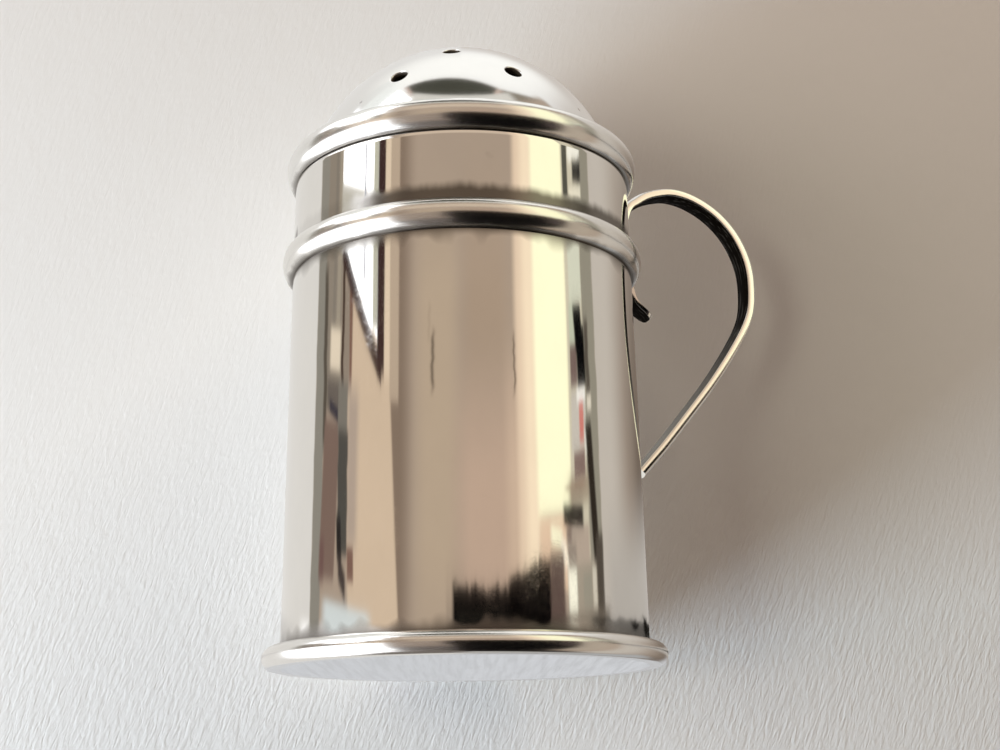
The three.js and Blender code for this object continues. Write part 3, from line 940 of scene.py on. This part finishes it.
# Each lamp's bearing round the paper, its angle off the paper, both in degrees, and its colour
lamps = {
    "low_left_lamp": (210, 12, (0.530, 0.640, 0.716)),
    "left_lamp": (180, 30, (0.051, 0.036, 0.043)),
    "high_left_lamp": (180, 50, (0.119, 0.115, 0.091)),
    "right_lamp": (60, 12, (0.320, 0.274, 0.213)),
}
ambient_colour = (0.084, 0.049, 0.043)
background_colour = (0.90, 0.895, 0.885)
silver_tint = (0.87, 0.85, 0.815)

for name, (round_paper, off_paper, colour) in lamps.items():
    lamp_data = bpy.data.lights.new(name, "AREA")
    lamp_data.shape = "SQUARE"
    lamp_data.size = lamp_size
    lamp_data.energy = lamp_power
    lamp_data.color = colour
    lamp = bpy.data.objects.new(name, lamp_data)
    aside, off = math.radians(round_paper), math.radians(off_paper)
    outward = Vector((math.cos(off) * math.cos(aside), -math.sin(off), math.cos(off) * math.sin(aside)))
    lamp_from, lamp_to = to_front @ (lamp_aim + outward * lamp_distance), to_front @ lamp_aim
    lamp.matrix_world = (Matrix.Translation(lamp_from)
                         @ (lamp_to - lamp_from).to_track_quat("-Z", "Y").to_matrix().to_4x4())
    lamp.visible_glossy = False
    lamp.visible_camera = False
    bpy.context.scene.collection.objects.link(lamp)

# One panel: white between its two sides and its two ends, which slant by Lean and Rise, and black beyond
panel, given, out = new_group(
    "soft_panel",
    {"Across": 0.0, "Up": 0.0, "Left": -1.0, "Right": 1.0, "Low": -1.0, "High": 1.0,
     "Lean": 0.0, "Rise": 0.0, "Soft Side": 0.5, "Soft End": 0.3},
    ["Mask"],
)
from_across, from_up = (
    sum_of(panel, "SUBTRACT", given[way],
           sum_of(panel, "MULTIPLY", sum_of(panel, "ADD", given[low], given[high]), 0.5))
    for way, low, high in (("Across", "Left", "Right"), ("Up", "Low", "High")))
edges = []
for off, other, slope, low, high, soft in (
    (from_across, from_up, "Lean", "Left", "Right", "Soft Side"),
    (from_up, from_across, "Rise", "Low", "High", "Soft End"),
):
    slid = sum_of(panel, "SUBTRACT", off, sum_of(panel, "MULTIPLY", other, given[slope]))
    half = sum_of(panel, "MULTIPLY", sum_of(panel, "SUBTRACT", given[high], given[low]), 0.5)
    inner, outer = (sum_of(panel, sign, half, given[soft]) for sign in ("SUBTRACT", "ADD"))
    edges.append(fade(panel, sum_of(panel, "ABSOLUTE", slid), inner, outer))
panel.links.new(sum_of(panel, "MULTIPLY", *edges), out["Mask"])

world = bpy.data.worlds.new("room")
world.use_nodes = True
world.cycles.sampling_method = "NONE"
bpy.context.scene.world = world
room = world.node_tree
ray = add(room, "ShaderNodeTexCoord").outputs["Generated"]
feeds = {"Vector": ray, "Rotation": (0, 0, math.radians(-front_turn))}
faced = add(room, "ShaderNodeMapping", feeds).outputs[0]
away = add(room, "ShaderNodeSeparateXYZ", {"Vector": faced}).outputs
towards = sum_of(room, "MULTIPLY", away["Y"], -1.0)
bearing = sum_of(room, "DEGREES", sum_of(room, "ARCTAN2", away["X"], towards))
elevation = sum_of(room, "DEGREES", sum_of(room, "ARCSINE", away["Z"]))
overhead = sum_of(room, "MAXIMUM", away["Z"], 0.02)
ceiling_x = sum_of(room, "DIVIDE", away["X"], overhead)
ceiling_y = sum_of(room, "DIVIDE", towards, overhead)


def feathers(density):
    """Feathery noise over bearing and elevation, with so many feathers to a degree of bearing."""
    place = add(room, "ShaderNodeCombineXYZ", {
        "X": sum_of(room, "MULTIPLY", bearing, density), "Y": sum_of(room, "MULTIPLY", elevation, 2.4),
    }).outputs[0]
    return noise(room, place, 5.0, Roughness=0.65)


fine_feathers = feathers(0.22)
ragged = shaken(room, elevation, fine_feathers, 1.3)
ragged_side = shaken(room, bearing, fine_feathers, 5.0)
ragged_limb = shaken(room, elevation, feathers(0.07), 1.1)
wavy_place = add(room, "ShaderNodeCombineXYZ", {"X": sum_of(room, "MULTIPLY", elevation, 0.7)})
wavy = shaken(room, bearing, noise(room, wavy_place.outputs[0], 2.0), 3.2)


def seen_as(colour, glow=1.0):
    """The light, as a linear colour, that shows in polished silver as this 0 to 255 sRGB colour."""
    shares = [channel / 255 for channel in colour]
    straight = [s / 12.92 if s <= 0.04045 else ((s + 0.055) / 1.055) ** 2.4 for s in shares]
    return [glow * s / tint for s, tint in zip(straight, silver_tint)] + [1]


room_light = add(room, "ShaderNodeRGB").outputs[0]
room_light.default_value = seen_as((200, 197, 192))


def hang(colour, left, right, low, high, lean=0.0, rise=0.0, soft=0.5, end=0.25, glow=1.0,
         across=bearing, up=elevation):
    """A panel between two bearings from the front and two elevations, in degrees, over the last ones.

    Its sides slant by lean and its ends by rise, and they fade over soft and end degrees each way."""
    global room_light
    mask = use_group(room, panel, across=across, up=up, left=left, right=right, low=low, high=high,
                     lean=lean, rise=rise, soft_side=soft, soft_end=end)["Mask"]
    room_light = mixed(room, mask, room_light, seen_as(colour, glow))


# Overhead: a pale scrim, with one olive card on a pinkish one and a brown strip to its right
hang((229, 226, 221), -200, 200, 20, 160, soft=20, end=20)
hang((201, 193, 184), 104, 178, 10, 56, soft=16, end=14)
hang((252, 249, 241), -0.75, 0.62, -0.72, 0.3, soft=0.34, end=0.34, across=ceiling_x, up=ceiling_y)
hang((128, 118, 102), 47, 98, 54.5, 63.3, rise=-0.34, soft=3, end=0.8)
hang((98, 90, 77), 44, 64, 58, 67, rise=-0.34, soft=4, end=1.2)
hang((196, 172, 157), -0.50, 0.345, 0.112, 0.80, rise=0.264, soft=0.014, end=0.02, lean=-0.10,
     across=ceiling_x, up=ceiling_y)
hang((66, 65, 55), -0.444, 0.300, 0.112, 0.80, rise=0.264, soft=0.012, end=0.02, lean=-0.05,
     across=ceiling_x, up=ceiling_y)
hang((214, 209, 198), -62, 62, 57, 65.0, soft=6, end=0.5)

# Beige cards in front and at the sides, and pale ones behind on both sides
hang((169, 151, 133), -112, 98, -100, 57, soft=3, end=3)
hang((236, 236, 229), -128, -84, 40, 64, soft=4, end=5)
hang((203, 183, 161), -42, 46, 28, 46, soft=6, end=3)
hang((218, 214, 207), -200, -110, -60, 57, soft=1.2, end=16)
hang((192, 183, 171), 94.5, 200, -60, 38, soft=1.2, end=20)
hang((152, 138, 124), 119, 200, -60, 24, soft=14, end=12)
hang((110, 97, 85), 140, 200, -60, 20, soft=16, end=10)
hang((168, 168, 166), 126, 200, -60, -24, soft=10, end=5)
hang((186, 186, 186), 158, 200, -12, 0, soft=6, end=3, glow=1.15)
hang((186, 186, 186), -200, -165, -12, 0, soft=6, end=3, glow=1.1)

# Low down: bright cards on the left, and dark flags in front and on the right
hang((150, 134, 120), -48, -8, -64, 6.0, soft=3, end=0.8)
hang((104, 95, 89), -50, 0, -70, -26, soft=6, end=12)
hang((255, 255, 255), -120, -54, -62, 6.0, soft=5, end=0.8, glow=2.0)
hang((255, 255, 255), -62, -45.5, -44, 4.0, soft=1.8, end=2, glow=2.0)
hang((255, 255, 255), -114, -54, 28.5, 47, lean=-0.5, soft=3, end=1.5, glow=1.6)
hang((110, 102, 95), -200, -12, -120, -58, soft=10, end=8)
hang((24, 21, 18), -12, 120, -120, -54, soft=8, end=8)

# Narrow cards at the left, between the paper and the white soft box
hang((140, 135, 124), -110.2, -100.5, 4, 27, soft=0.9, across=wavy)
hang((141, 130, 116), -101.5, -85.5, 14.2, 27, soft=0.7, across=wavy)
hang((131, 122, 110), -94.2, -91.6, 17.2, 27, soft=0.9)
hang((158, 147, 130), -90.5, -87.2, 17.4, 27, soft=0.8)
hang((228, 212, 188), -95.5, -86.0, 15.75, 17.3, soft=1.4, end=0.22)
hang((106, 97, 89), -97.5, -86.0, 14.2, 15.4, soft=1.0, end=0.3)
hang((88, 80, 70), -102.0, -98.6, 12.8, 19.4, lean=-0.2, soft=1.0, end=0.5, across=wavy)
hang((123, 102, 91), -101, -87, 8.2, 13.9, lean=0.55, soft=0.9, end=0.3)
hang((112, 86, 80), -101.8, -97.6, 8.1, 9.6, soft=1.5, end=0.5)
hang((56, 53, 62), -95.0, -86.0, 14.02, 14.5, rise=-0.035, soft=1.0, end=0.1)
hang((146, 132, 117), -83.3, -78.4, 14.9, 19.0, soft=0.5)
hang((74, 60, 51), -85.2, -83.0, 15.2, 20.0, soft=0.5, across=wavy)
hang((124, 94, 80), -78.6, -74.4, 15.4, 18.9, lean=-0.3, soft=0.6)
hang((132, 114, 98), -56, -35, 6.5, 27, soft=6.5, end=0.8)
hang((208, 185, 159), -79.0, -43.5, 6.0, 15.0, lean=-0.87, soft=0.9, end=0.2)
hang((208, 185, 159), -76.2, -47.6, 14.8, 18.8, soft=0.8)
hang((176, 158, 142), -78.6, -70.5, 9.6, 15.2, soft=2.6, end=0.8)
hang((124, 118, 108), -87.0, -79.0, 13.5, 15.4, soft=0.8)
hang((80, 77, 71), -86.2, -78.0, 9.2, 13.7, soft=0.8, across=wavy)
hang((42, 38, 36), -86.4, -82.6, 8.9, 10.6, lean=-0.9, soft=0.8, end=0.3)
hang((66, 56, 52), -84.6, -78.6, 7.9, 8.9, rise=-0.14, soft=1.0, end=0.25)
hang((122, 92, 80), -77.4, -72.4, 8.3, 9.6, lean=-0.5, soft=0.8, end=0.15)
hang((206, 212, 210), -97, -60, 5.0, 7.35, rise=-0.006, soft=4, end=0.25, glow=1.05)

# White soft box, with a dark flag below it that runs down to the right and another at its right
hang((255, 255, 255), -87.2, -57, 18.85, 62, rise=-0.107, soft=0.6, end=0.14, glow=2.2)
hang((255, 255, 255), -68.5, -57, 17.65, 24, rise=-0.06, soft=0.5, end=0.10, glow=2.2)
hang((190, 184, 170), -88, -56, 20.9, 22.55, soft=0.8, end=0.12)
hang((190, 187, 168), -60.9, -57.0, 17.6, 27, soft=0.5, end=0.2)
hang((163, 163, 172), -68.0, -66.8, 19.2, 27, soft=0.35)
hang((60, 43, 39), -86.2, -54.0, 17.65, 18.6, rise=-0.134, soft=0.5, end=0.10)
hang((62, 44, 41), -57.2, -52.0, 15.9, 27, soft=0.45, end=0.4)
hang((222, 201, 174), -52.0, -47.8, 15.9, 27, soft=0.5, end=0.6)
hang((184, 164, 142), -48.0, -41.8, 15.0, 27, soft=0.7, end=0.15)

# Beige cards in the middle, a pinkish one to their right and a bright cream one beyond it
hang((182, 162, 139), -29, -4, 7, 21.5, soft=7, end=3)
hang((169, 148, 127), 1, 29, 15, 22, soft=7, end=4)
hang((190, 164, 143), -3, 34, 7, 15, soft=9, end=3)
hang((204, 178, 154), 27, 42, 4, 15.5, soft=4, end=3.5)
hang((228, 203, 175), 33.8, 48, 3.5, 52, soft=2.4, end=3)
hang((248, 226, 194), 39.0, 48, 6.5, 52, soft=3.6, end=4)
hang((255, 251, 211), 46.4, 71.2, 10.9, 52, soft=1.9, end=0.35, glow=1.06)

# Pale cards at the right, with small dark flags and light cards before them
hang((228, 197, 167), 47, 68, 8.0, 10.85, soft=2, end=0.15)
hang((205, 196, 172), 71.0, 85.0, 7, 45, soft=0.6)
hang((146, 140, 124), 84.2, 95.2, 7, 45, soft=0.8, across=wavy)
hang((160, 145, 124), 69.0, 85.5, 11.1, 12.1, soft=2.2, end=0.35)
hang((212, 212, 190), 73.5, 84, 18.3, 21, soft=0.6)
hang((192, 196, 172), 72.6, 78.5, 16.7, 18.3, soft=0.6, end=0.1)
hang((118, 98, 91), 72.6, 78.0, 15.2, 16.75, soft=0.5, end=0.1)
hang((4, 4, 5), 76.6, 83.2, 16.4, 18.22, lean=-1.0, soft=0.55, end=0.09)
hang((4, 4, 5), 78.0, 85.0, 15.12, 17.4, lean=-0.3, soft=0.5, end=0.08)
hang((200, 192, 179), 72.4, 84, 12.95, 15.0, lean=0.3, soft=0.6, end=0.08)
hang((206, 126, 114), 78.6, 82.2, 13.2, 14.6, soft=0.6, end=0.14)
hang((252, 248, 238), 77.0, 84.0, 14.62, 15.08, soft=0.9, end=0.1)
hang((128, 106, 98), 73.6, 82.4, 12.0, 12.9, soft=0.5, end=0.08)
hang((236, 232, 218), 82.6, 85.6, 12.7, 13.5, lean=-1, soft=0.6, end=0.14)
hang((150, 122, 102), 66, 82, 11.68, 11.84, soft=2, end=0.06)
hang((160, 149, 132), 66, 90, 6.9, 9.0, soft=1.5, end=0.15)
hang((180, 163, 146), 66, 84, 8.9, 10.3, soft=1.5, end=0.15)
hang((20, 18, 15), 64.0, 79.4, 10.34, 11.1, rise=-0.014, soft=1.2, end=0.07)
hang((130, 112, 101), 66.0, 69.6, 9.75, 10.3, soft=1.2, end=0.15)
hang((142, 128, 115), 66.4, 73.0, 8.9, 9.7, soft=1.2, end=0.15)
hang((255, 250, 214), 54.5, 62.8, 9.72, 10.4, rise=-0.03, soft=1.4, end=0.1)
hang((255, 243, 220), 62.2, 66.0, 8.9, 9.9, lean=-2.5, soft=0.7, end=0.15)
hang((255, 251, 228), 66.2, 72.6, 7.1, 8.75, soft=1.0, end=0.15)
hang((150, 144, 128), 77.6, 85.0, 7.2, 8.5, soft=0.8, end=0.1, across=ragged_side)
hang((206, 197, 179), 85.4, 88.8, 7.2, 8.7, soft=0.7, end=0.15)
hang((88, 80, 70), 85.2, 88.6, 14.7, 17.6, soft=0.9, across=wavy)
hang((228, 218, 198), 85.6, 89.4, 14.2, 14.75, soft=0.9, end=0.14)
hang((46, 39, 32), 85.4, 90.6, 8.8, 13.8, lean=-0.9, soft=0.9, end=0.3)
hang((80, 72, 63), 89.4, 95.5, 6.2, 9.8, soft=1.0, end=0.3)
hang((112, 102, 90), 60, 101, 6.4, 7.1, soft=3, end=0.25)
hang((84, 82, 72), 71.8, 76, 21.5, 24.4, soft=0.6)
hang((26, 22, 20), 80.4, 87.6, 22.55, 23.3, rise=-0.02, soft=0.8, end=0.12)
hang((250, 246, 230), 76.5, 87.4, 23.45, 24.0, soft=0.8, end=0.08, up=ragged)
hang((236, 228, 204), 77, 87.4, 21.9, 22.45, soft=0.8, end=0.1)

# Low in front: black flags with ragged tops, a brown one beside them, and a dark strip at the right
hang((66, 58, 56), -11.5, 0, -20, 6.0, soft=1.0, end=4)
hang((6, 5, 5), -7.5, 54, -62, 8.6, soft=1.2, end=0.10, up=ragged)
hang((4, 3, 3), 27, 54, 0, 9.16, rise=0.012, soft=1.6, end=0.10, up=ragged)
hang((28, 26, 22), -6, 26, 5, 7.5, soft=4, end=0.5, up=ragged)
hang((176, 162, 144), 62, 86, -42, 5.6, soft=2, end=3)
hang((8, 7, 7), 48, 67, -60, -14, soft=2, end=6)
hang((58, 48, 47), 53, 66.5, -18, 6.8, soft=1.5, end=0.6)
hang((92, 75, 68), 53.4, 63.4, 5.8, 9.5, soft=1.3, end=0.3)
hang((178, 171, 162), 100, 200, 0.0, 9.4, soft=7, end=2.2)
hang((24, 22, 19), 83, 170, 4.6, 6.2, rise=-0.014, soft=2.5, end=0.14, up=ragged_limb)
hang((200, 196, 190), -200, -100, 3.5, 6.0, soft=2, end=0.4)

glossy = add(room, "ShaderNodeBackground", {"Color": room_light, "Strength": 1.0}).outputs[0]
plain = add(room, "ShaderNodeBackground", {"Color": (*background_colour, 1), "Strength": 1.0}).outputs[0]
even = add(room, "ShaderNodeBackground", {"Color": (*ambient_colour, 1), "Strength": 1.0}).outputs[0]
path = add(room, "ShaderNodeLightPath").outputs
seen = add(room, "ShaderNodeMixShader", {0: path["Is Glossy Ray"], 1: even, 2: glossy}).outputs[0]
seen = add(room, "ShaderNodeMixShader", {0: path["Is Camera Ray"], 1: seen, 2: plain}).outputs[0]
room.links.new(seen, room.nodes["World Output"].inputs["Surface"])

bpy.context.scene.view_settings.view_transform = "Standard"

low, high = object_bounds()
